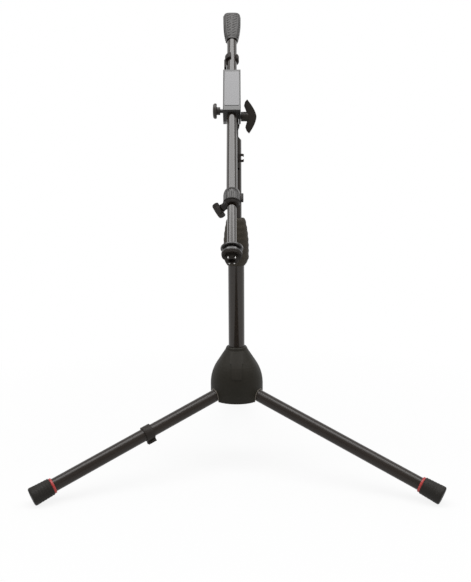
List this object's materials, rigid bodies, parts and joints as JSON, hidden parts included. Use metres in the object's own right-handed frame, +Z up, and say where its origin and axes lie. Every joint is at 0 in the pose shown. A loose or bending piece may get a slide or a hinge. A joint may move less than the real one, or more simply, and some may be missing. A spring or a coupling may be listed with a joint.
{
  "type": "boom microphone stand",
  "caption": "Low tripod microphone stand with folding legs, a height tube with a twist clutch and a tilting, telescoping boom with a counterweight and threaded end.",
  "frame": {"origin": "on the axis of the upright tubes, at floor level under the three feet", "axes": "+Z up along the upright, -Y towards the front (the low end of the boom and between the two front legs), +X to the right seen from the front"},
  "size_m": [0.4946, 0.4342, 0.6024],
  "materials": {
    "black_tube": "gloss",
    "black_fitting": "satin",
    "black_moulding": "satin",
    "glossy_moulding": "gloss",
    "grip_rubber": "matte",
    "rubber": "matte",
    "red_ring": "satin",
    "steel": "satin"
  },
  "bodies": {
    "base": {"hub_housing": "black_moulding", "hub_badge": "black_moulding", "hub_core": "black_moulding", "leg_pins": "steel", "guide_post": "steel", "end_cap": "black_moulding", "cap_screw": "steel", "lower_tube": "black_tube", "clutch_body": "black_moulding"},
    "leg_rear": {"leg_root_rear": "black_moulding", "leg_tube_rear": "black_tube", "foot_ring_rear": "red_ring", "foot_rear": "rubber"},
    "leg_left": {"leg_root_left": "black_moulding", "leg_tube_left": "black_tube", "foot_ring_left": "red_ring", "foot_left": "rubber"},
    "leg_right": {"leg_root_right": "black_moulding", "leg_tube_right": "black_tube", "foot_ring_right": "red_ring", "foot_right": "rubber"},
    "leg_clip": {"leg_cable_clip": "black_moulding"},
    "spool": {"leg_spool": "black_moulding"},
    "collet": {"clutch_collet": "black_moulding"},
    "clutch": {"clutch_nut": "black_moulding", "clutch_grip": "grip_rubber"},
    "mast": {"upper_tube": "black_tube", "guide_bush": "black_moulding", "top_plug": "black_moulding", "pivot_tongue": "black_moulding"},
    "mast_clip": {"tube_cable_clip": "black_moulding"},
    "block": {"boom_block": "glossy_moulding", "friction_disc": "rubber", "pivot_bolt": "steel", "slide_pad": "black_moulding"},
    "handle": {"wing_handle": "black_moulding"},
    "block_knob": {"slide_knob": "black_moulding", "slide_knob_screw": "steel"},
    "boom": {"boom_outer_tube": "black_tube", "counterweight": "rubber", "weight_core": "steel", "telescope_collar": "black_moulding", "collar_bush": "black_moulding", "collar_pad": "black_moulding"},
    "boom_clip": {"boom_cable_clip": "black_moulding"},
    "extension_knob": {"collar_knob": "black_moulding", "collar_knob_screw": "steel"},
    "boom_inner": {"boom_inner_tube": "black_tube", "inner_bush": "black_moulding", "mic_adapter": "black_fitting"},
    "mic_lock": {"lock_ring": "black_fitting"}
  },
  "joints": [
    {"name": "leg_rear_fold", "type": "hinge", "parent": "base", "child": "leg_rear", "pos_m": [0, 0.024, 0.09942], "axis": [-1, 0, 0], "range_deg": [0, 70.7]},
    {"name": "leg_left_fold", "type": "hinge", "parent": "base", "child": "leg_left", "pos_m": [-0.02079, -0.012, 0.09942], "axis": [0.5, -0.866, 0], "range_deg": [0, 70.7]},
    {"name": "leg_right_fold", "type": "hinge", "parent": "base", "child": "leg_right", "pos_m": [0.02079, -0.012, 0.09942], "axis": [0.5, 0.866, 0], "range_deg": [0, 70.7]},
    {"name": "spool_slide", "type": "slide", "parent": "base", "child": "spool", "axis": [0, 0, 1], "range_m": [0, 0.01391]},
    {"name": "leg_clip_turn", "type": "hinge", "parent": "leg_left", "child": "leg_clip", "pos_m": [-0.10824, -0.06249, 0.06405], "axis": [-0.8174, -0.4719, -0.3305], "continuous": true},
    {"name": "clutch_turn", "type": "hinge", "parent": "base", "child": "clutch", "pos_m": [0, 0, 0.2907], "axis": [0, 0, 1], "range_deg": [0, 90]},
    {"name": "mast_turn", "type": "hinge", "parent": "base", "child": "collet", "pos_m": [0, 0, 0.2907], "axis": [0, 0, 1], "continuous": true},
    {"name": "mast_slide", "type": "slide", "parent": "collet", "child": "mast", "axis": [0, 0, 1], "range_m": [-0.068, 0.06]},
    {"name": "mast_clip_turn", "type": "hinge", "parent": "mast", "child": "mast_clip", "pos_m": [0, 0, 0.4016], "axis": [0, 0, 1], "continuous": true},
    {"name": "boom_tilt", "type": "hinge", "parent": "mast", "child": "block", "pos_m": [0, 0, 0.4582], "axis": [1, 0, 0], "range_deg": [-98, 20]},
    {"name": "handle_turn", "type": "hinge", "parent": "block", "child": "handle", "pos_m": [0, 0, 0.4582], "axis": [1, 0, 0], "continuous": true},
    {"name": "block_knob_turn", "type": "hinge", "parent": "block", "child": "block_knob", "pos_m": [-0.0044, -0.01327, 0.46388], "axis": [-1, 0, 0], "range_deg": [0, 360]},
    {"name": "boom_slide", "type": "slide", "parent": "block", "child": "boom", "axis": [0, 0.6046, 0.7965], "range_m": [-0.01, 0.105]},
    {"name": "boom_clip_turn", "type": "hinge", "parent": "boom", "child": "boom_clip", "pos_m": [-0.0044, 0.03843, 0.53198], "axis": [0, 0.6046, 0.7965], "continuous": true},
    {"name": "extension_knob_turn", "type": "hinge", "parent": "boom", "child": "extension_knob", "pos_m": [-0.0044, -0.09676, 0.35388], "axis": [-0.6428, 0.6102, -0.4631], "range_deg": [0, 360]},
    {"name": "extension_slide", "type": "slide", "parent": "boom", "child": "boom_inner", "axis": [0, 0.6046, 0.7965], "range_m": [-0.12, 0.055]},
    {"name": "mic_lock_turn", "type": "hinge", "parent": "boom_inner", "child": "mic_lock", "pos_m": [-0.0044, -0.13661, 0.30138], "axis": [0, 0.6046, 0.7965], "continuous": true}
  ],
  "couplings": [
    {"joint": "leg_left_fold", "follows": "leg_rear_fold", "ratio": 1},
    {"joint": "leg_right_fold", "follows": "leg_rear_fold", "ratio": 1},
    {"joint": "spool_slide", "follows": "leg_rear_fold", "m_per_rad": 0.011253}
  ]
}
